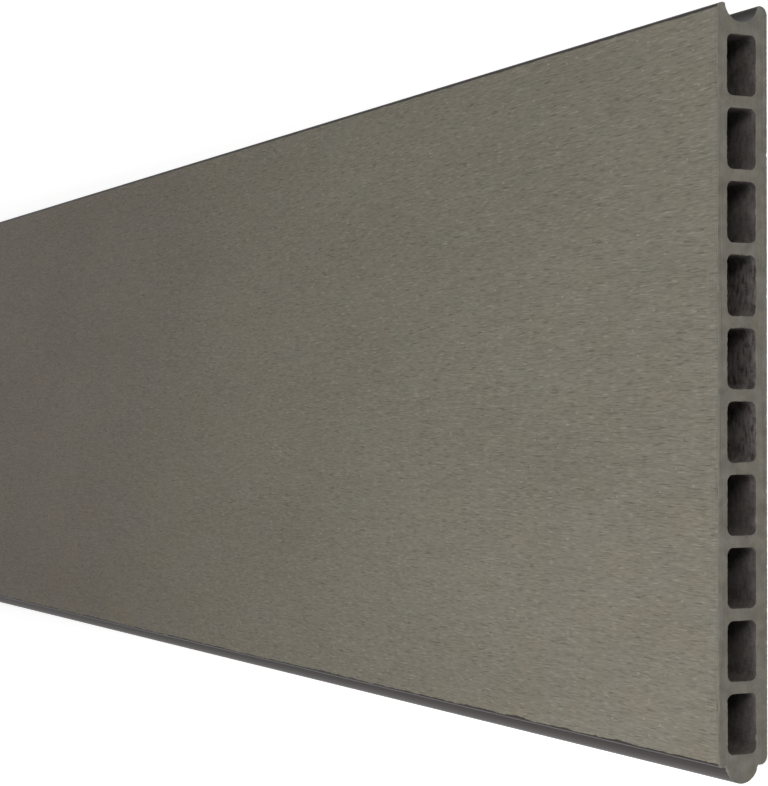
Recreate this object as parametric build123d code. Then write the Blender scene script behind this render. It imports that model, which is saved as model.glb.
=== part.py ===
"""Hollow tongue-and-groove fence board, extruded in wood-plastic composite.

The board lies flat on its back face. X runs along its length, Y across its width
with the groove at +Y and the tongue at -Y, and Z up through its thickness. The
origin is at the centre of the underside of its bounding box. All sizes are in
millimetres.
"""

import os

from build123d import *

# Board as sold
LENGTH = 1800.0
COVER_WIDTH = 250.0  # groove lips to tongue shoulders: what one board adds to a fence
THICKNESS = 20.0  # back face to sanded front face
SANDING_DEPTH = 0.7  # skin that the sanding belt takes off the front after extrusion

# Hollow core
CELL_COUNT = 10
FACE_WALL = 4.5  # each wide wall as it leaves the die
WEB = 4.0  # between one cell and the next
HEAD_WALL = 4.0  # between the groove and the first cell
FOOT_WALL = 4.0  # between the last cell and the tongue shoulders
CELL_RADIUS = 2.3

# Long edges
TONGUE_HEIGHT = 12.8  # across the tongue at its root, between the two shoulders
TONGUE_DEPTH = 5.75  # how far the tongue stands out from its shoulders
TONGUE_CLEARANCE = 0.25  # all round the tongue in the next board's groove
EDGE_RADIUS = 2.8  # outer corners as they leave the die
LIP_RADIUS = 0.8  # inner corners of the groove's lips
ROOT_RADIUS = 0.5  # where the tongue meets its shoulders

# What follows from them
extruded_thickness = THICKNESS + SANDING_DEPTH
core_z = extruded_thickness / 2  # plane that the section was extruded about
root_half = TONGUE_HEIGHT / 2
mouth_half = root_half + TONGUE_CLEARANCE
groove_depth = TONGUE_DEPTH + TONGUE_CLEARANCE
lip_y = (COVER_WIDTH + TONGUE_DEPTH) / 2
shoulder_y = lip_y - COVER_WIDTH
first_cell_y = lip_y - groove_depth - HEAD_WALL
last_cell_y = shoulder_y + FOOT_WALL
cell_width = (first_cell_y - last_cell_y - (CELL_COUNT - 1) * WEB) / CELL_COUNT
cell_depth = extruded_thickness - 2 * FACE_WALL
# A corner rounding can be no larger than the flat it is cut from
MOST_OF_A_FLAT = 0.95
lip_flat = extruded_thickness / 2 - EDGE_RADIUS - mouth_half
shoulder_flat = extruded_thickness / 2 - EDGE_RADIUS - root_half
lip_radius = min(LIP_RADIUS, MOST_OF_A_FLAT * lip_flat)
root_radius = min(ROOT_RADIUS, MOST_OF_A_FLAT * shoulder_flat)


def corners_at(sketch, y, half_gap):
    """The sketch's two corners at this place across the board, one each side of the core plane."""
    wanted = [Vector(y, core_z + side * half_gap) for side in (-1, 1)]
    return [min(sketch.vertices(), key=lambda v: (v.center() - corner).length) for corner in wanted]


def round_nose(nose_y, half_height, depth):
    """A disc whose -Y side is a round nose of this depth, from nose_y to this height either way."""
    radius = (half_height**2 + depth**2) / (2 * depth)
    return Pos(nose_y + radius, core_z) * Circle(radius)


def die_outline():
    """The outline that the die gives: rounded edges, tongue on one side and groove on the other."""
    middle = Pos((lip_y + shoulder_y) / 2, core_z)
    outline = middle * RectangleRounded(COVER_WIDTH, extruded_thickness, EDGE_RADIUS)
    outline += round_nose(shoulder_y - TONGUE_DEPTH, root_half, TONGUE_DEPTH)
    outline -= round_nose(lip_y - groove_depth, mouth_half, groove_depth)
    outline = fillet(corners_at(outline, lip_y, mouth_half), lip_radius)
    return fillet(corners_at(outline, shoulder_y, root_half), root_radius)


def core_cells():
    """The row of rounded cells that leaves the webs standing between the two wide walls."""
    middle = Pos((first_cell_y + last_cell_y) / 2, core_z)
    row = GridLocations(cell_width + WEB, 0, CELL_COUNT, 1)
    return middle * row * RectangleRounded(cell_width, cell_depth, CELL_RADIUS)


def sanded_off():
    """The strip above the finished front face."""
    past_both_edges = 2 * COVER_WIDTH
    strip = Rectangle(past_both_edges, 2 * SANDING_DEPTH, align=(Align.CENTER, Align.MIN))
    return Pos(0, THICKNESS) * strip


def fence_board():
    section = die_outline() - core_cells() - sanded_off()
    return extrude(Plane.YZ * section, LENGTH / 2, both=True)


board = fence_board()
board.label = "fence_board"
os.makedirs("parts", exist_ok=True)
export_step(board, "parts/fence_board.step")

print(f"cells {cell_width:.2f} x {cell_depth:.2f}, {CELL_COUNT} at {cell_width + WEB:.2f}")
print(f"lips at y {lip_y:.3f}, shoulders at y {shoulder_y:.3f}, core plane at z {core_z:.3f}")
print(f"first cell from y {first_cell_y:.3f}, last cell from y {last_cell_y:.3f}")
print(f"volume {board.volume:.0f} mm3, box {board.bounding_box().size}")
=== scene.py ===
"""A hollow composite fence board lying on its back, seen from above its sawn end.

The board's section is repeated here from the solid, in millimetres, so that its
rounded edges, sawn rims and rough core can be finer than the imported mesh.
"""

import math
from collections import namedtuple

import bpy
from mathutils import Matrix, Vector, geometry, noise


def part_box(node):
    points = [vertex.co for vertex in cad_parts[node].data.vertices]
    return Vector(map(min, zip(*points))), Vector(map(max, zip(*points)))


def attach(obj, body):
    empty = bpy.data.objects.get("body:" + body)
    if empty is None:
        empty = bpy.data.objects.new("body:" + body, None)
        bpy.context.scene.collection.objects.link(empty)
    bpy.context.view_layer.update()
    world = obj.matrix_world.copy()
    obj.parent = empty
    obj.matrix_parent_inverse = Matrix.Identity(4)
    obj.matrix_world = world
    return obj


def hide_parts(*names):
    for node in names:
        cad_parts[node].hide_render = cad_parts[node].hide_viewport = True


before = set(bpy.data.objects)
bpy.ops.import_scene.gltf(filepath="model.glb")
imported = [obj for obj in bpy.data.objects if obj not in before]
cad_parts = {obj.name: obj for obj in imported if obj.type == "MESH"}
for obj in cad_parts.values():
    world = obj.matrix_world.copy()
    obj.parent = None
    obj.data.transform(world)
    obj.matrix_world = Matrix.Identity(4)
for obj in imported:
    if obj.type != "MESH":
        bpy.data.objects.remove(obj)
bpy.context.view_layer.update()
low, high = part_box("fence_board")

MM = 0.001  # in metres
QUARTER_TURN = math.pi / 2
HALF_TURN = math.pi
FULL_TURN = 2 * math.pi

# Section of the board, in millimetres, across (y) and up (z)
LENGTH = (high.x - low.x) / MM
THICKNESS = (high.z - low.z) / MM
LIP_Y = high.y / MM
COVER_WIDTH = 250.0
SHOULDER_Y = LIP_Y - COVER_WIDTH
TONGUE_DEPTH = SHOULDER_Y - low.y / MM
TONGUE_HEIGHT = 12.8
TONGUE_CLEARANCE = 0.25
SANDING_DEPTH = 0.7
EDGE_RADIUS = 2.8
LIP_RADIUS = 0.8
ROOT_RADIUS = 0.5
CELL_COUNT = 10
CELL_WIDTH = 20.0
CELL_DEPTH = 11.7
CELL_RADIUS = 2.3
WEB = 4.0
FOOT_WALL = 4.0
CORE_Z = (THICKNESS + SANDING_DEPTH) / 2
FRONT_CORNER_Z = THICKNESS + SANDING_DEPTH - EDGE_RADIUS
END_X = LENGTH / 2

# How far one seed moves the noise along each axis, so that no two seeds read the same stretch of it
SEED_STEP = (1.0, 7.3, -3.1)


def wave(*place, seed=0.0):
    """Smooth noise from about -1 to 1 at this place, the same in every run."""
    place = list(place) + [0.0] * (3 - len(place))
    return noise.noise(Vector([at + step * seed for at, step in zip(place, SEED_STEP)]))


# Points along lines and arcs of the section

def run(start, stop, steps):
    """Points from start up to, but not including, stop."""
    return [
        (start[0] + (stop[0] - start[0]) * i / steps, start[1] + (stop[1] - start[1]) * i / steps)
        for i in range(steps)
    ]


def arc(centre, radius, start, stop, steps):
    """Points from one angle up to, but not including, the other, in radians from +Y towards +Z."""
    angles = [start + (stop - start) * i / steps for i in range(steps)]
    return [(centre[0] + radius * math.cos(a), centre[1] + radius * math.sin(a)) for a in angles]


def steps_for(length, spacing, fewest):
    """How many steps no longer than the spacing cover this length."""
    return max(fewest, math.ceil(length / spacing))


def nose_circle(nose_y, half_height, depth):
    """Centre and radius of the round of a tongue or groove whose nose is at nose_y."""
    radius = (half_height**2 + depth**2) / (2 * depth)
    return (nose_y + radius, CORE_Z), radius


TONGUE_CENTRE, TONGUE_R = nose_circle(SHOULDER_Y - TONGUE_DEPTH, TONGUE_HEIGHT / 2, TONGUE_DEPTH)
GROOVE_CENTRE, GROOVE_R = nose_circle(
    LIP_Y - TONGUE_DEPTH - TONGUE_CLEARANCE,
    TONGUE_HEIGHT / 2 + TONGUE_CLEARANCE,
    TONGUE_DEPTH + TONGUE_CLEARANCE,
)


def corner_fillet(flat_y, radius, circle_centre, circle_radius):
    """How far from the core plane a fillet's centre lies, and the angle where it meets the circle."""
    across = flat_y - radius - circle_centre[0]
    up = math.sqrt((circle_radius + radius) ** 2 - across**2)
    return up, math.atan2(up, across)


LIP_UP, LIP_ANGLE = corner_fillet(LIP_Y, LIP_RADIUS, GROOVE_CENTRE, GROOVE_R)
ROOT_UP, ROOT_ANGLE = corner_fillet(SHOULDER_Y, ROOT_RADIUS, TONGUE_CENTRE, TONGUE_R)

# Columns of the sanded face: millimetres in from each long edge, and steps over the rest
FACE_COLUMNS = [0.0, 0.7, 2.0, 5.0, 12.0]
FACE_MIDDLE_STEPS = 9

# Steps along the other stretches of the outline, the fewest where the spacing can ask for more
SANDED_CORNER_STEPS = 6
BACK_CORNER_STEPS = 8
BACK_STEPS = 10
SHOULDER_STEPS = 2
ROOT_STEPS = 4
NOSE_STEPS = 26  # round the tongue, and round the groove
LIP_STEPS = 1
LIP_CORNER_STEPS = 5
CELL_CORNER_STEPS = 4


def front_face(groove_dip, tongue_dip, spacing):
    """The sanded face from the groove's side to the tongue's, dipping where the belt rolled off."""
    def edge(y_inner, side, dip):
        rise = THICKNESS - dip - FRONT_CORNER_Z
        return y_inner + side * math.sqrt(EDGE_RADIUS**2 - rise**2)

    groove_edge = edge(LIP_Y - EDGE_RADIUS, 1, groove_dip)
    tongue_edge = edge(SHOULDER_Y + EDGE_RADIUS, -1, tongue_dip)
    reach = FACE_COLUMNS[-1]
    first, last = groove_edge - reach, tongue_edge + reach
    stops = [groove_edge - d for d in FACE_COLUMNS]
    stops += [first + (last - first) * i / FACE_MIDDLE_STEPS for i in range(1, FACE_MIDDLE_STEPS)]
    stops += [tongue_edge + d for d in reversed(FACE_COLUMNS)]

    def height(y):
        near_groove = max(0.0, 1 - (groove_edge - y) / reach)
        near_tongue = max(0.0, 1 - (y - tongue_edge) / reach)
        return THICKNESS - groove_dip * near_groove**2 - tongue_dip * near_tongue**2

    points = []
    for a, b in zip(stops, stops[1:]):
        points += [(y, height(y)) for y, _ in run((a, 0), (b, 0), steps_for(a - b, spacing, 1))]
    return points


def outer_ring(groove_dip, tongue_dip, spacing):
    """The board's outline, counter-clockwise from the front lip. Long stretches keep to the spacing."""
    def bend(radius, turn, fewest):
        return steps_for(radius * turn, spacing, fewest)

    groove_start = math.asin((THICKNESS - groove_dip - FRONT_CORNER_Z) / EDGE_RADIUS)
    tongue_start = math.asin((THICKNESS - tongue_dip - FRONT_CORNER_Z) / EDGE_RADIUS)
    groove_corner_steps = bend(EDGE_RADIUS, groove_start, SANDED_CORNER_STEPS)
    tongue_corner_steps = bend(EDGE_RADIUS, tongue_start, SANDED_CORNER_STEPS)
    back_corner_steps = bend(EDGE_RADIUS, QUARTER_TURN, BACK_CORNER_STEPS)
    tongue_steps = bend(TONGUE_R, FULL_TURN - 2 * ROOT_ANGLE, NOSE_STEPS)
    groove_steps = bend(GROOVE_R, FULL_TURN - 2 * LIP_ANGLE, NOSE_STEPS)

    front_lip = (LIP_Y - EDGE_RADIUS, FRONT_CORNER_Z)
    back_lip = (LIP_Y - EDGE_RADIUS, EDGE_RADIUS)
    front_shoulder = (SHOULDER_Y + EDGE_RADIUS, FRONT_CORNER_Z)
    back_shoulder = (SHOULDER_Y + EDGE_RADIUS, EDGE_RADIUS)
    front_root = (SHOULDER_Y - ROOT_RADIUS, CORE_Z + ROOT_UP)
    back_root = (SHOULDER_Y - ROOT_RADIUS, CORE_Z - ROOT_UP)
    front_mouth = (LIP_Y - LIP_RADIUS, CORE_Z + LIP_UP)
    back_mouth = (LIP_Y - LIP_RADIUS, CORE_Z - LIP_UP)
    back_steps = steps_for(back_lip[0] - back_shoulder[0], spacing, BACK_STEPS)

    points = arc(front_lip, EDGE_RADIUS, 0, groove_start, groove_corner_steps)
    points += front_face(groove_dip, tongue_dip, spacing)
    points += arc(front_shoulder, EDGE_RADIUS, HALF_TURN - tongue_start, HALF_TURN, tongue_corner_steps)
    points += run((SHOULDER_Y, FRONT_CORNER_Z), (SHOULDER_Y, CORE_Z + ROOT_UP), SHOULDER_STEPS)
    points += arc(front_root, ROOT_RADIUS, 0, ROOT_ANGLE - HALF_TURN, ROOT_STEPS)
    points += arc(TONGUE_CENTRE, TONGUE_R, ROOT_ANGLE, FULL_TURN - ROOT_ANGLE, tongue_steps)
    points += arc(back_root, ROOT_RADIUS, HALF_TURN - ROOT_ANGLE, 0, ROOT_STEPS)
    points += run((SHOULDER_Y, CORE_Z - ROOT_UP), (SHOULDER_Y, EDGE_RADIUS), SHOULDER_STEPS)
    points += arc(back_shoulder, EDGE_RADIUS, HALF_TURN, HALF_TURN + QUARTER_TURN, back_corner_steps)
    points += run((back_shoulder[0], 0), (back_lip[0], 0), back_steps)
    points += arc(back_lip, EDGE_RADIUS, -QUARTER_TURN, 0, back_corner_steps)
    points += run((LIP_Y, EDGE_RADIUS), (LIP_Y, CORE_Z - LIP_UP), LIP_STEPS)
    points += arc(back_mouth, LIP_RADIUS, 0, HALF_TURN - LIP_ANGLE, LIP_CORNER_STEPS)
    points += arc(GROOVE_CENTRE, GROOVE_R, FULL_TURN - LIP_ANGLE, LIP_ANGLE, groove_steps)
    points += arc(front_mouth, LIP_RADIUS, LIP_ANGLE - HALF_TURN, 0, LIP_CORNER_STEPS)
    points += run((LIP_Y, CORE_Z + LIP_UP), (LIP_Y, FRONT_CORNER_Z), LIP_STEPS)
    return points


def cell_y(index):
    """The middle of a core cell, counted from the tongue."""
    return SHOULDER_Y + FOOT_WALL + CELL_WIDTH / 2 + index * (CELL_WIDTH + WEB)


def cell_ring(index, spacing):
    """The outline of one core cell, counter-clockwise."""
    flat_y = CELL_WIDTH / 2 - CELL_RADIUS
    flat_z = CELL_DEPTH / 2 - CELL_RADIUS
    bend = steps_for(CELL_RADIUS * QUARTER_TURN, spacing, CELL_CORNER_STEPS)
    across = steps_for(2 * flat_y, spacing, 1)
    up = steps_for(2 * flat_z, spacing, 1)
    corners = [(1, 1), (-1, 1), (-1, -1), (1, -1)]
    points = []
    for turn, (side_y, side_z) in enumerate(corners):
        centre = (cell_y(index) + side_y * flat_y, CORE_Z + side_z * flat_z)
        last = (turn + 1) * QUARTER_TURN
        points += arc(centre, CELL_RADIUS, turn * QUARTER_TURN, last, bend)
        start = (centre[0] + CELL_RADIUS * math.cos(last), centre[1] + CELL_RADIUS * math.sin(last))
        if turn % 2 == 0:
            points += run(start, (start[0] - side_y * 2 * flat_y, start[1]), across)
        else:
            points += run(start, (start[0], start[1] - side_z * 2 * flat_z), up)
    return points


def shifted(ring, amounts):
    """The ring moved sideways: each point towards the left of the way the ring runs, by its amount."""
    moved = []
    for i, (y, z) in enumerate(ring):
        before, after = ring[i - 1], ring[(i + 1) % len(ring)]
        dy, dz = after[0] - before[0], after[1] - before[1]
        size = math.hypot(dy, dz)
        moved.append((y - dz / size * amounts[i], z + dy / size * amounts[i]))
    return moved


SHARP = 24.0  # degrees between two faces from which they no longer shade as one


class Skin:
    """Collects a mesh's points and faces, each face with a material."""

    def __init__(self):
        self.points = []
        self.faces = []
        self.materials = []

    def ring(self, points):
        """Adds points that are in millimetres, and gives back their numbers."""
        first = len(self.points)
        self.points += [(x * MM, y * MM, z * MM) for x, y, z in points]
        return list(range(first, len(self.points)))

    def face(self, corners, material):
        self.faces.append(corners)
        self.materials.append(material)

    def bridge(self, a, b, material):
        """Quads between two closed rings of as many points."""
        for i in range(len(a)):
            j = (i + 1) % len(a)
            self.face((a[i], a[j], b[j], b[i]), material)

    def stitch(self, a, b, material):
        """Triangles between two closed rings of one outline, with different numbers of points."""
        def shares(ring):
            total, marks = 0.0, [0.0]
            for i in range(len(ring)):
                here = Vector(self.points[ring[i]])
                there = Vector(self.points[ring[(i + 1) % len(ring)]])
                total += (there.yz - here.yz).length
                marks.append(total)
            return [m / total for m in marks]

        share_a, share_b = shares(a), shares(b)
        i = j = 0
        while i < len(a) or j < len(b):
            here, there = a[i % len(a)], b[j % len(b)]
            if j == len(b) or (i < len(a) and share_a[i + 1] <= share_b[j + 1]):
                i += 1
                self.face((here, a[i % len(a)], there), material)
            else:
                j += 1
                self.face((here, b[j % len(b)], there), material)

    def fill(self, rings, flip, material):
        """Triangles over a flat face with an outer ring and holes."""
        flat = [i for ring in rings for i in ring]
        loops = [[Vector(self.points[i]) for i in ring] for ring in rings]
        for tri in geometry.tessellate_polygon(loops):
            corners = tuple(flat[k] for k in tri)
            a, b, c = (Vector(self.points[k]) for k in corners)
            outward = (b - a).cross(c - a).x > 0
            self.face(corners if outward != flip else corners[::-1], material)

    def build(self, name, materials):
        """The collected mesh as a piece of the scene."""
        mesh = bpy.data.meshes.new(name)
        mesh.from_pydata(self.points, [], self.faces)
        for material in materials:
            mesh.materials.append(material)
        mesh.polygons.foreach_set("material_index", self.materials)
        mesh.polygons.foreach_set("use_smooth", [True] * len(mesh.polygons))
        mesh.set_sharp_from_angle(angle=math.radians(SHARP))
        mesh.validate()
        mesh.update()
        piece = bpy.data.objects.new(name, mesh)
        bpy.context.scene.collection.objects.link(piece)
        return piece


# The saw's broken arris, in millimetres
ARRIS = 0.08  # everywhere
ARRIS_WANDER = 0.32  # up to this much more, in a fine grain
ARRIS_GRAIN = 0.9
CHIP_SIZE = 1.9  # of larger chips, for each unit by which their noise passes its level
CHIP_LEVEL = 0.42
CHIP_GRAIN = 3.1
CHIP_SEED = 40  # after the fine grain's
FRAYED = 4.0  # times as much again at the front shoulder
FRAYED_REACH = 4.0


def chips(ring, seed):
    """How much the saw broke away along a ring: a fine broken arris with a few larger chips."""
    sizes = []
    for y, z in ring:
        fine = abs(wave(y / ARRIS_GRAIN, z / ARRIS_GRAIN, seed=seed))
        chip = max(0.0, wave(y / CHIP_GRAIN, z / CHIP_GRAIN, seed=seed + CHIP_SEED) - CHIP_LEVEL)
        from_corner = math.hypot(y - SHOULDER_Y, z - FRONT_CORNER_Z)
        frayed = 1 + FRAYED * max(0.0, 1 - from_corner / FRAYED_REACH)
        sizes.append((ARRIS + ARRIS_WANDER * fine + CHIP_SIZE * chip) * frayed)
    return sizes


# How far the sanding belt rolled off the long edges, in millimetres
ROLL_OFF = 0.14
LEAST_ROLL_OFF = 0.02
ROLL_OFF_WAVES = [(130.0, 0.10), (41.0, 0.07), (15.0, 0.05)]  # each one's length and size
GROOVE_SEED = 3
TONGUE_SEED = 5


def roll_off(x, seed):
    """How far the belt rolled off one edge at this place along the board."""
    dip = ROLL_OFF + sum(size * wave(x / length, seed=seed) for length, size in ROLL_OFF_WAVES)
    return max(LEAST_ROLL_OFF, dip)


def sanded_section(x, spacing):
    """The board's outline at this place along it."""
    return outer_ring(roll_off(x, GROOVE_SEED), roll_off(x, TONGUE_SEED), spacing)


# The core walls' relief, in millimetres: grain along a cell and round it, size, and seed
CORE_RELIEF = [(3.3, 1.7, 0.13, 11), (1.1, 0.7, 0.07, 31)]
# How deep inside a cell its walls have a ring of points
CELL_DEPTHS = [0.0, 0.35, 0.9, 1.6, 2.5, 3.6, 5.0, 6.8, 9.0, 12.0, 16.0, 22.0, 32.0, 48.0]
CELL_FADE = CELL_DEPTHS[-1]  # where the walls run true
CHIP_FADE = 8.0  # where a chipped mouth no longer shows

# The torn cells: three next to each other, the middle one here
TORN_CELL = 5
TORN_Y = cell_y(TORN_CELL)
TORN_REACH = 1.5 * CELL_WIDTH + WEB
TORN_RELIEF = 2.2  # times the relief above
PLAIN_RELIEF = 0.75


def core_roughness(x, y, z, depth):
    """How far a core wall stands out of true: a little everywhere, and more in the torn cells."""
    relief = 0.0
    for along, round_it, size, seed in CORE_RELIEF:
        relief += size * wave(x / along, y / round_it, z / round_it, seed=seed)
    torn = TORN_RELIEF if abs(y - TORN_Y) < TORN_REACH + WEB else PLAIN_RELIEF
    return relief * torn * max(0.0, 1 - depth / CELL_FADE)


# Spacing of the mesh, in millimetres
STATION = 5.0  # between the rings along the board
END_ZONE = 4.0  # from a sawn end to the first of them
FINE = 0.6  # between the points of the sawn rims and the cells
COARSE = math.inf  # leaves each stretch of the outline its fewest steps
INNER_END = END_X - END_ZONE

SKIN, SAWN, CORE = range(3)  # the board's materials
END_SEEDS = {-1: 40, 1: 80}  # with room after each for its cells


def facing_out(side, a, b):
    """Two rings in the order that turns the faces between them outwards, at the end on this side."""
    return (a, b) if side > 0 else (b, a)


def long_skin(skin):
    """The long faces, short of the end zones. Gives back the ring that ends them on each side."""
    count = math.ceil(2 * INNER_END / STATION)
    stations = [-INNER_END + 2 * INNER_END * i / count for i in range(count + 1)]
    rings = [skin.ring([(x, y, z) for y, z in sanded_section(x, COARSE)]) for x in stations]
    for a, b in zip(rings, rings[1:]):
        skin.bridge(a, b, SKIN)
    return {-1: rings[0], 1: rings[-1]}


def sawn_rim(skin, side, inner):
    """One end zone and its broken arris. Gives back the ring round the sawn face."""
    section = sanded_section(side * INNER_END, FINE)
    broken = chips(section, END_SEEDS[side])
    rim = skin.ring([(side * (END_X - c), y, z) for (y, z), c in zip(section, broken)])
    edge = skin.ring([(side * END_X, y, z) for y, z in shifted(section, broken)])
    skin.stitch(*facing_out(side, inner, rim), SKIN)
    skin.bridge(*facing_out(side, rim, edge), SAWN)
    return edge


def cell_end(skin, side, index):
    """One end of a cell. Gives back its chipped mouth and the ring from which its walls run true."""
    cell = cell_ring(index, FINE)
    broken = chips(cell, END_SEEDS[side] + index + 1)
    mouth = skin.ring([(side * END_X, y, z) for y, z in shifted(cell, [-c for c in broken])])
    last = mouth
    for depth in CELL_DEPTHS:
        x = side * (END_X - depth)
        rough = [core_roughness(x, y, z, depth) for y, z in cell]
        chipped = max(0.0, 1 - depth / CHIP_FADE)
        places = zip(shifted(cell, rough), broken)
        here = skin.ring([(x - side * c * chipped, y, z) for (y, z), c in places])
        skin.bridge(*facing_out(side, last, here), SAWN if last is mouth else CORE)
        last = here
    return mouth, last


def fence_board(materials):
    """The whole board as one closed mesh."""
    skin = Skin()
    inner = long_skin(skin)
    walls = {}
    for side in (-1, 1):
        edges = [sawn_rim(skin, side, inner[side])]
        for index in range(CELL_COUNT):
            mouth, walls[side, index] = cell_end(skin, side, index)
            edges.append(mouth)
        skin.fill(edges, side < 0, SAWN)
    for index in range(CELL_COUNT):
        skin.bridge(walls[1, index], walls[-1, index], CORE)
    return skin.build("fence_board_finish", materials)


# Building blocks of the materials

def material(name):
    made = bpy.data.materials.new(name)
    made.use_nodes = True
    made.node_tree.nodes.clear()
    return made, made.node_tree


def join(tree, socket, value):
    """Links a socket to another one, or sets it to a number or colour."""
    if isinstance(value, bpy.types.NodeSocket):
        tree.links.new(value, socket)
    else:
        socket.default_value = value


def calc(tree, operation, *values):
    node = tree.nodes.new("ShaderNodeMath")
    node.operation = operation
    for socket, value in zip(node.inputs, values):
        join(tree, socket, value)
    return node.outputs[0]


def weighted(tree, base, *layers):
    """The base with layers added to it, each a value and its weight."""
    total = base
    for value, weight in layers:
        total = calc(tree, "MULTIPLY_ADD", value, weight, total)
    return total


def between(tree, value, start, stop, first=0.0, last=1.0):
    """Goes smoothly from first to last as the value goes from start to stop."""
    node = tree.nodes.new("ShaderNodeMapRange")
    node.interpolation_type = "SMOOTHSTEP"
    for socket, number in zip(node.inputs, (value, start, stop, first, last)):
        join(tree, socket, number)
    return node.outputs[0]


def blend(tree, share, a, b, way="MIX"):
    """Colour a, with this share of colour b mixed or multiplied in."""
    node = tree.nodes.new("ShaderNodeMix")
    node.data_type = "RGBA"
    node.blend_type = way
    for socket, value in zip((node.inputs[0], node.inputs[6], node.inputs[7]), (share, a, b)):
        join(tree, socket, value)
    return node.outputs[2]


def object_place(tree):
    """The place on the board in metres, whole and as x, y and z."""
    place = tree.nodes.new("ShaderNodeTexCoord").outputs["Object"]
    parts = tree.nodes.new("ShaderNodeSeparateXYZ")
    tree.links.new(place, parts.inputs[0])
    return place, parts.outputs


# A grain's size in millimetres, its noise settings, and its weights in a surface's shade and relief
USUAL_GRAIN = (2.0, 0.55, 0.0, 0.0)  # for those that leave out detail, roughness, shade or height
Grain = namedtuple("Grain", "along across up detail roughness shade height", defaults=USUAL_GRAIN)
# Millimetres between the places for flecks, their radius, the share of places used, and their strength
Flecks = namedtuple("Flecks", "along across up radius share strength")
GRAIN_MIDDLE = 0.5  # a grain runs from 0 to 1
FLECK_HEART = 0.4  # share of a fleck's radius that has its full strength


def scaled(tree, place, kind):
    """The place counted in grains or flecks instead of metres."""
    node = tree.nodes.new("ShaderNodeMapping")
    node.inputs["Scale"].default_value = [1 / (size * MM) for size in (kind.along, kind.across, kind.up)]
    tree.links.new(place, node.inputs["Vector"])
    return node.outputs[0]


def grain(tree, place, kind):
    """Noise from 0 to 1."""
    node = tree.nodes.new("ShaderNodeTexNoise")
    node.inputs["Scale"].default_value = 1.0
    node.inputs["Detail"].default_value = kind.detail
    node.inputs["Roughness"].default_value = kind.roughness
    tree.links.new(scaled(tree, place, kind), node.inputs["Vector"])
    return node.outputs["Fac"]


def swing(tree, place, kind):
    """The same noise, centred on 0."""
    return calc(tree, "SUBTRACT", grain(tree, place, kind), GRAIN_MIDDLE)


def flecks(tree, place, kind):
    """Scattered soft spots, as the share of the fleck's colour to mix in."""
    node = tree.nodes.new("ShaderNodeTexVoronoi")
    node.inputs["Scale"].default_value = 1.0
    tree.links.new(scaled(tree, place, kind), node.inputs["Vector"])
    chance = tree.nodes.new("ShaderNodeSeparateColor")
    tree.links.new(node.outputs["Color"], chance.inputs[0])
    spot = between(tree, node.outputs["Distance"], kind.radius, kind.radius * FLECK_HEART)
    chosen = calc(tree, "LESS_THAN", chance.outputs[0], kind.share)
    return calc(tree, "MULTIPLY", calc(tree, "MULTIPLY", spot, chosen), kind.strength)


# Every surface of the board is matt, and the sanded and sawn ones are warmer in soft patches
SPECULAR = 0.1
MOTTLE = Grain(32.0, 18.0, 9.0)
MOTTLE_RANGE = (0.35, 0.65)
WARMER = (1.022, 0.988, 0.955, 1)


def mottled(tree, place, colour):
    share = between(tree, grain(tree, place, MOTTLE), *MOTTLE_RANGE)
    return blend(tree, share, colour, WARMER, "MULTIPLY")


def surface(tree, colour, roughness, height, depth):
    """Ends a material: its relief is this many millimetres deep where the height goes from 0 to 1."""
    bump = tree.nodes.new("ShaderNodeBump")
    bump.inputs["Strength"].default_value = 1.0
    bump.inputs["Distance"].default_value = depth * MM
    tree.links.new(height, bump.inputs["Height"])
    shader = tree.nodes.new("ShaderNodeBsdfPrincipled")
    join(tree, shader.inputs["Base Color"], colour)
    join(tree, shader.inputs["Roughness"], roughness)
    shader.inputs["Specular IOR Level"].default_value = SPECULAR
    tree.links.new(bump.outputs[0], shader.inputs["Normal"])
    out = tree.nodes.new("ShaderNodeOutputMaterial")
    tree.links.new(shader.outputs[0], out.inputs[0])


# The sanded front
SANDED_DARK = (0.101, 0.0945, 0.076, 1)
SANDED_LIGHT = (0.320, 0.302, 0.246, 1)
SANDED_ROUGHNESS = 0.68
SANDED_BASE = -0.22  # what its shade starts from
SANDED_RANGE = (-0.38, 1.38)  # shade that is dark, and shade that is light
SCRATCHES = Grain(4.2, 0.48, 9.0, roughness=0.6, shade=0.75, height=0.7)
STREAKS = Grain(16.0, 1.6, 9.0, shade=0.35, height=0.3)
CLOUDS = Grain(160.0, 55.0, 60.0, shade=0.3)
DARK_DASHES = Grain(6.0, 0.52, 9.0, detail=1.0, shade=-0.45)
DARK_DASH_RANGE = (0.53, 0.80)
PALE_DASHES = Grain(5.2, 0.60, 9.0, detail=1.0, shade=0.45)
PALE_DASH_RANGE = (0.55, 0.82)
PALE_FLECKS = Flecks(3.2, 1.8, 9.0, radius=0.30, share=0.04, strength=0.38)
PALE_FLECK = (0.40, 0.385, 0.33, 1)
DARK_FLECKS = Flecks(3.9, 2.1, 9.0, radius=0.25, share=0.04, strength=0.4)
DARK_FLECK = (0.085, 0.078, 0.066, 1)

# What changes with the distance from a sawn end, in millimetres
DRIFT = (1.007, 0.96, 0.982, 1)  # tint towards the middle of the board
DRIFT_FROM = 250.0
DRIFT_TO = 700.0
SCUFFS = Grain(0.5, 14.0, 9.0, shade=0.5)  # across the board, by the saw
SCUFF_REACH = 14.0
DUSTY = (1.0, 1.015, 1.06, 1)  # tint of a greyer band with a blotchy edge
DUST_REACH = 14.0
DUST_WANDER = 10.0
BLOTCHES = Grain(9.0, 6.0, 9.0, detail=3.0)
PAINTED_ARRIS_SHADE = (0.86, 0.86, 0.87, 1)  # painted shade along the sawn arris
PAINTED_ARRIS_SHADE_REACH = 2.4
PAINTED_ARRIS_SHADE_WANDER = 1.5


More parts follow.
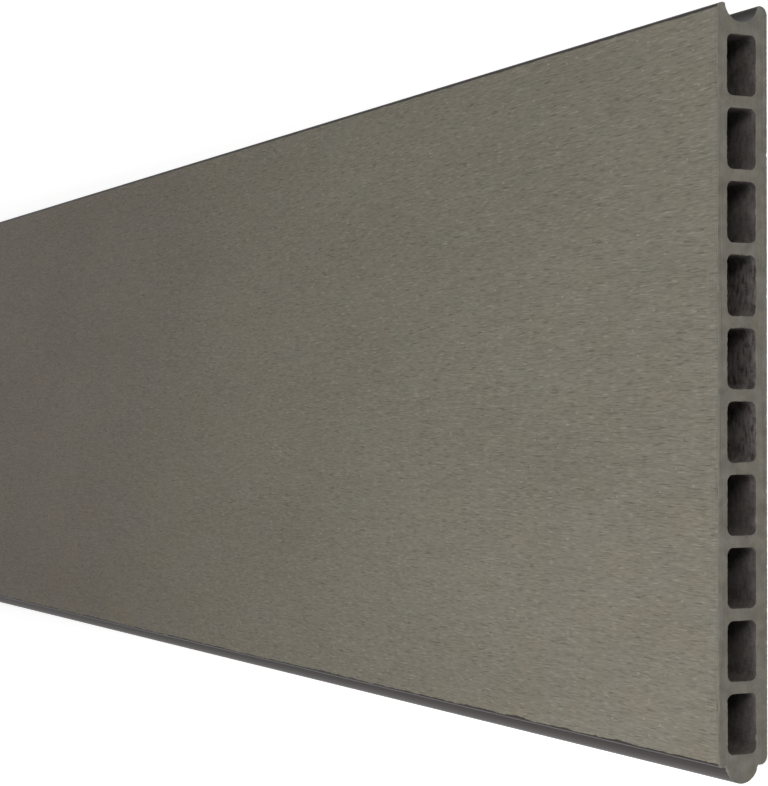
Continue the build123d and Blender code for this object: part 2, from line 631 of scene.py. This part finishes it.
def sanded_front(tree, place, x):
    """Colour and relief of the front: scratched along the board, dusty by the saw cuts, and with painted
    shade along the sawn arrises.
    """
    from_end = calc(tree, "SUBTRACT", END_X * MM, calc(tree, "ABSOLUTE", x))
    scratches = grain(tree, place, SCRATCHES)
    streaks = grain(tree, place, STREAKS)
    clouds = grain(tree, place, CLOUDS)
    dark_dashes = between(tree, grain(tree, place, DARK_DASHES), *DARK_DASH_RANGE)
    pale_dashes = between(tree, grain(tree, place, PALE_DASHES), *PALE_DASH_RANGE)
    by_the_saw = between(tree, from_end, SCUFF_REACH * MM, 0.0)
    scuffs = calc(tree, "MULTIPLY", swing(tree, place, SCUFFS), by_the_saw)
    shade = weighted(
        tree,
        SANDED_BASE,
        (scratches, SCRATCHES.shade),
        (dark_dashes, DARK_DASHES.shade),
        (pale_dashes, PALE_DASHES.shade),
        (streaks, STREAKS.shade),
        (clouds, CLOUDS.shade),
        (scuffs, SCUFFS.shade),
    )
    colour = blend(tree, between(tree, shade, *SANDED_RANGE), SANDED_DARK, SANDED_LIGHT)
    colour = mottled(tree, place, colour)
    inward = between(tree, from_end, DRIFT_FROM * MM, DRIFT_TO * MM)
    colour = blend(tree, inward, colour, DRIFT, "MULTIPLY")
    ragged = weighted(tree, from_end, (grain(tree, place, BLOTCHES), DUST_WANDER * MM))
    colour = blend(tree, between(tree, ragged, DUST_REACH * MM, 0.0), colour, DUSTY, "MULTIPLY")
    # Painted shade: the front darkens over the last few millimetres before each sawn arris, with a
    # ragged edge
    ragged = weighted(tree, from_end, (scratches, PAINTED_ARRIS_SHADE_WANDER * MM))
    colour = blend(tree, between(tree, ragged, PAINTED_ARRIS_SHADE_REACH * MM, 0.0), colour, PAINTED_ARRIS_SHADE, "MULTIPLY")
    colour = blend(tree, flecks(tree, place, PALE_FLECKS), colour, PALE_FLECK)
    colour = blend(tree, flecks(tree, place, DARK_FLECKS), colour, DARK_FLECK)
    height = weighted(tree, 0.0, (streaks, STREAKS.height), (scratches, SCRATCHES.height))
    return colour, height


# The skin that the die left on the edges and the back
SKIN_DARK = (0.037, 0.032, 0.031, 1)
SKIN_LIGHT = (0.070, 0.061, 0.058, 1)
SKIN_ROUGHNESS = 0.46
DIE_LINES = Grain(700.0, 0.9, 0.9, shade=0.6)
SMEARS = Grain(45.0, 5.0, 5.0, detail=3.0, shade=0.5)
PAINTED_EDGE_SHADE = (0.024, 0.021, 0.020, 1)  # painted shade on the skin of the rounded edges, beside the sanded front
PAINTED_EDGE_SHADE_REACH = 1.5  # in millimetres
PAINTED_EDGE_SHADE_SHARE = 0.7


def die_skin(tree, place, inward):
    """Colour and relief of the skin, darkened by painted shade on the rounded edges, with the distance
    in metres inside the edge of the sanded front.
    """
    die_lines = grain(tree, place, DIE_LINES)
    smears = grain(tree, place, SMEARS)
    shade = weighted(tree, 0.0, (smears, SMEARS.shade), (die_lines, DIE_LINES.shade))
    colour = blend(tree, shade, SKIN_DARK, SKIN_LIGHT)
    # Painted shade: a dark line on the rounded edges where the skin meets the sanded front
    painted_edge_shade = between(tree, inward, -PAINTED_EDGE_SHADE_REACH * MM, 0.0, 0.0, PAINTED_EDGE_SHADE_SHARE)
    return blend(tree, painted_edge_shade, colour, PAINTED_EDGE_SHADE), die_lines


# Where the sanded front ends beside the groove and the tongue, in millimetres
BELT_EDGE = Grain(14.0, 400.0, 400.0, detail=4.0, roughness=0.74)
GROOVE_SKIN = 1.6  # left from the lips inwards
GROOVE_WANDER = 0.8
GROOVE_BLUR = 0.25
TONGUE_SKIN = 1.4  # left from the shoulders inwards
TONGUE_WANDER = 3.0
TONGUE_BLUR = 0.12
LONG_RELIEF = 0.06  # depth of the scratches and die lines


def long_faces():
    """The sanded front, and the darker skin from the die that is left on the edges and the back."""
    made, tree = material("sanded_front_and_die_skin")
    place, (x, y, z) = object_place(tree)
    wander = swing(tree, place, BELT_EDGE)
    groove_edge = weighted(tree, (LIP_Y - GROOVE_SKIN) * MM, (wander, GROOVE_WANDER * MM))
    tongue_edge = weighted(tree, (SHOULDER_Y + TONGUE_SKIN) * MM, (wander, TONGUE_WANDER * MM))
    from_groove = calc(tree, "SUBTRACT", groove_edge, y)
    from_tongue = calc(tree, "SUBTRACT", y, tongue_edge)
    by_groove = between(tree, from_groove, -GROOVE_BLUR * MM, GROOVE_BLUR * MM)
    by_tongue = between(tree, from_tongue, -TONGUE_BLUR * MM, TONGUE_BLUR * MM)
    above_core = calc(tree, "GREATER_THAN", z, CORE_Z * MM)
    front = calc(tree, "MULTIPLY", calc(tree, "MULTIPLY", by_groove, by_tongue), above_core)
    sanded, scratches = sanded_front(tree, place, x)
    skin, die_lines = die_skin(tree, place, calc(tree, "MINIMUM", from_groove, from_tongue))
    colour = blend(tree, front, skin, sanded)
    difference = calc(tree, "SUBTRACT", scratches, die_lines)
    height = calc(tree, "MULTIPLY_ADD", front, difference, die_lines)
    roughness = between(tree, front, 0.0, 1.0, SKIN_ROUGHNESS, SANDED_ROUGHNESS)
    surface(tree, colour, roughness, height, LONG_RELIEF)
    return made


# The sawn ends
SAWN_DARK = (0.131, 0.125, 0.107, 1)
SAWN_LIGHT = (0.249, 0.239, 0.206, 1)
SAWN_ROUGHNESS = 0.75
SAWN_RELIEF = 0.05  # depth in millimetres
SAWN_RANGE = (0.15, 0.85)
GRANULES = Grain(0.45, 0.45, 0.45, detail=3.0, roughness=0.6, shade=0.3, height=0.5)
SAWN_PATCHES = Grain(5.0, 5.0, 5.0, detail=3.0, shade=0.7)
BLADE_MARKS = Grain(9.0, 40.0, 0.6)
MARKS_AT_CORE = 0.15  # how strong the marks are beside the cells
MARKS_AT_FACES = 0.8


def sawn_ends():
    """The ends as the saw left them: a fine granular cut with faint straight marks of the blade."""
    made, tree = material("sawn_end")
    place, (_, _, z) = object_place(tree)
    granules = grain(tree, place, GRANULES)
    patches = grain(tree, place, SAWN_PATCHES)
    from_middle = calc(tree, "ABSOLUTE", calc(tree, "SUBTRACT", z, THICKNESS / 2 * MM))
    core, face = CELL_DEPTH / 2 * MM, THICKNESS / 2 * MM
    near_faces = between(tree, from_middle, core, face, MARKS_AT_CORE, MARKS_AT_FACES)
    marks = calc(tree, "MULTIPLY", swing(tree, place, BLADE_MARKS), near_faces)
    shade = weighted(tree, 0.0, (granules, GRANULES.shade), (patches, SAWN_PATCHES.shade))
    shade = between(tree, calc(tree, "ADD", shade, marks), *SAWN_RANGE)
    colour = mottled(tree, place, blend(tree, shade, SAWN_DARK, SAWN_LIGHT))
    height = weighted(tree, marks, (granules, GRANULES.height))
    surface(tree, colour, SAWN_ROUGHNESS, height, SAWN_RELIEF)
    return made


# The walls of the cells
CORE_DARK = (0.057, 0.049, 0.045, 1)
CORE_LIGHT = (0.180, 0.161, 0.152, 1)
CORE_ROUGHNESS = 0.6
CORE_BUMP = 0.6  # depth in millimetres, on top of the walls' own relief
CORE_RANGE = (0.17, 0.97)
RIDGES = Grain(1.5, 3.6, 3.6, detail=4.0, roughness=0.68, shade=2.5)
FIBRES = Grain(2.2, 0.6, 0.6, detail=3.0, roughness=0.65, shade=0.5, height=0.2)
CORE_PATCHES = Grain(9.0, 7.0, 7.0, shade=0.5)
TORN_SHADE = 0.22  # lighter where the walls are torn
PLAIN_SHARE = 0.3  # of the torn cells' ridges, in the other cells


def core_walls():
    """Inside the cells: dark skin from the die's mandrels, torn into ridges in the middle cells."""
    made, tree = material("core_wall")
    place, (_, y, _) = object_place(tree)
    fibres = grain(tree, place, FIBRES)
    patches = grain(tree, place, CORE_PATCHES)
    from_torn = calc(tree, "ABSOLUTE", calc(tree, "SUBTRACT", y, TORN_Y * MM))
    torn = between(tree, from_torn, TORN_REACH * MM, (TORN_REACH + WEB) * MM, 1.0, PLAIN_SHARE)
    ridges = calc(tree, "MULTIPLY", swing(tree, place, RIDGES), torn)
    shade = weighted(
        tree,
        0.0,
        (fibres, FIBRES.shade),
        (ridges, RIDGES.shade),
        (patches, CORE_PATCHES.shade),
        (torn, TORN_SHADE),
    )
    colour = blend(tree, between(tree, shade, *CORE_RANGE), CORE_DARK, CORE_LIGHT)
    surface(tree, colour, CORE_ROUGHNESS, weighted(tree, ridges, (fibres, FIBRES.height)), CORE_BUMP)
    return made


board = fence_board([long_faces(), sawn_ends(), core_walls()])
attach(board, "root")
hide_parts("fence_board")


# Floor and sky, in metres and shares of white

FLOOR_REACH = 8.0
FLOOR_BELOW = 0.0001  # under the board's back face
FLOOR_COLOUR = 0.62
FLOOR_GLOW = 0.78  # added where it shows
SKY = 0.22  # light from all round
HORIZON = FLOOR_GLOW + FLOOR_COLOUR * SKY  # what shows where the floor ends


def shown(tree):
    """1 for the rays that show the background, straight or by way of gloss, and 0 for others."""
    path = tree.nodes.new("ShaderNodeLightPath")
    glossy, clear = path.outputs["Is Glossy Ray"], path.outputs["Is Transmission Ray"]
    return calc(tree, "MAXIMUM", path.outputs["Is Camera Ray"], calc(tree, "MAXIMUM", glossy, clear))


def floor_material():
    """A pale floor. It glows enough to look white where it shows, and keeps the board's shadow."""
    made, tree = material("floor")
    matt = tree.nodes.new("ShaderNodeBsdfDiffuse")
    matt.inputs["Color"].default_value = (FLOOR_COLOUR, FLOOR_COLOUR, FLOOR_COLOUR, 1)
    glow = tree.nodes.new("ShaderNodeEmission")
    glow.inputs["Color"].default_value = (1, 1, 1, 1)
    tree.links.new(calc(tree, "MULTIPLY", shown(tree), FLOOR_GLOW), glow.inputs["Strength"])
    both = tree.nodes.new("ShaderNodeAddShader")
    tree.links.new(matt.outputs[0], both.inputs[0])
    tree.links.new(glow.outputs[0], both.inputs[1])
    out = tree.nodes.new("ShaderNodeOutputMaterial")
    tree.links.new(both.outputs[0], out.inputs[0])
    return made


def floor():
    mesh = bpy.data.meshes.new("floor")
    edge = FLOOR_REACH
    corners = [(-edge, -edge), (edge, -edge), (edge, edge), (-edge, edge)]
    mesh.from_pydata([(x, y, -FLOOR_BELOW) for x, y in corners], [], [(0, 1, 2, 3)])
    mesh.materials.append(floor_material())
    made = bpy.data.objects.new("floor", mesh)
    bpy.context.scene.collection.objects.link(made)


def sky():
    world = bpy.data.worlds.new("studio")
    world.use_nodes = True
    tree = world.node_tree
    tree.nodes.clear()
    back = tree.nodes.new("ShaderNodeBackground")
    back.inputs["Color"].default_value = (1, 1, 1, 1)
    strength = between(tree, shown(tree), 0.0, 1.0, SKY, HORIZON)
    tree.links.new(strength, back.inputs["Strength"])
    out = tree.nodes.new("ShaderNodeOutputWorld")
    tree.links.new(back.outputs[0], out.inputs[0])
    bpy.context.scene.world = world


# Lamps and camera stand off from the middle of the seen end's front arris, in metres
near_end = Vector((high.x, (low.y + high.y) / 2, high.z))

# Place and aim of each round lamp, its width, its power in watts and its spread in degrees
LAMPS = {
    "over_the_end": ((0.6, 0.3, 0.85), (0, 0, 0), 0.6, 2.5, 180.0),
    "over_the_tongue": ((0.05, -0.35, 0.5), (-0.05, 0, 0), 0.4, 2.15, 180.0),
    "before_the_end": ((1.2, 0.65, 0.55), (0, 0, 0), 0.6, 5.5, 180.0),
    "beside_the_tongue": ((-1.0, -2.2, 0.3), (-1.0, 0, 0), 0.8, 8.0, 180.0),
    "beside_the_groove": ((-1.0, 2.2, 0.3), (-1.0, 0, 0), 0.8, 8.0, 180.0),
    "over_the_far_half": ((-1.5, 0.3, 0.8), (-1.5, 0, 0), 0.6, 0.5, 85.0),
    "beyond_the_far_end": ((-2.9, 0.2, 0.06), (-1.8, 0, 0), 0.3, 0.4, 60.0),
}


def lamp(name, place, aim, width, power, spread):
    light = bpy.data.lights.new(name, "AREA")
    light.shape = "DISK"
    light.size = width
    light.energy = power
    light.spread = math.radians(spread)
    made = bpy.data.objects.new(name, light)
    made.location = near_end + Vector(place)
    made.rotation_euler = (Vector(aim) - Vector(place)).to_track_quat("-Z", "Y").to_euler()
    made.visible_camera = False
    bpy.context.scene.collection.objects.link(made)


CAMERA_FROM_END = Vector((0.5402, -0.0106, 0.4062))
CAMERA_TURN = -62.334  # degrees, as the next two
CAMERA_TILT = 0.878
CAMERA_ROLL = 0.214
PICTURE_HEIGHT = 786  # pixels, as the next two
FOCAL_LENGTH = 2047
OPTICAL_CENTRE_BELOW = 67  # under the middle of the picture
SENSOR = 36.0  # millimetres
NEAREST_SEEN = 0.01  # metres


def camera():
    data = bpy.data.cameras.new("camera")
    data.sensor_width = SENSOR
    data.lens = FOCAL_LENGTH / PICTURE_HEIGHT * SENSOR
    data.shift_y = OPTICAL_CENTRE_BELOW / PICTURE_HEIGHT
    data.clip_start = NEAREST_SEEN
    made = bpy.data.objects.new("camera", data)
    turn = Matrix.Rotation(math.radians(CAMERA_TURN), 4, "Y")
    tilt = Matrix.Rotation(math.radians(CAMERA_TILT), 4, "X")
    roll = Matrix.Rotation(math.radians(CAMERA_ROLL), 4, "Z")
    facing = (roll @ tilt @ turn).transposed()
    made.matrix_world = Matrix.Translation(near_end + CAMERA_FROM_END) @ facing
    bpy.context.scene.collection.objects.link(made)
    bpy.context.scene.camera = made


floor()
sky()
for name, facts in LAMPS.items():
    lamp(name, *facts)
camera()
bpy.context.scene.view_settings.view_transform = "Standard"
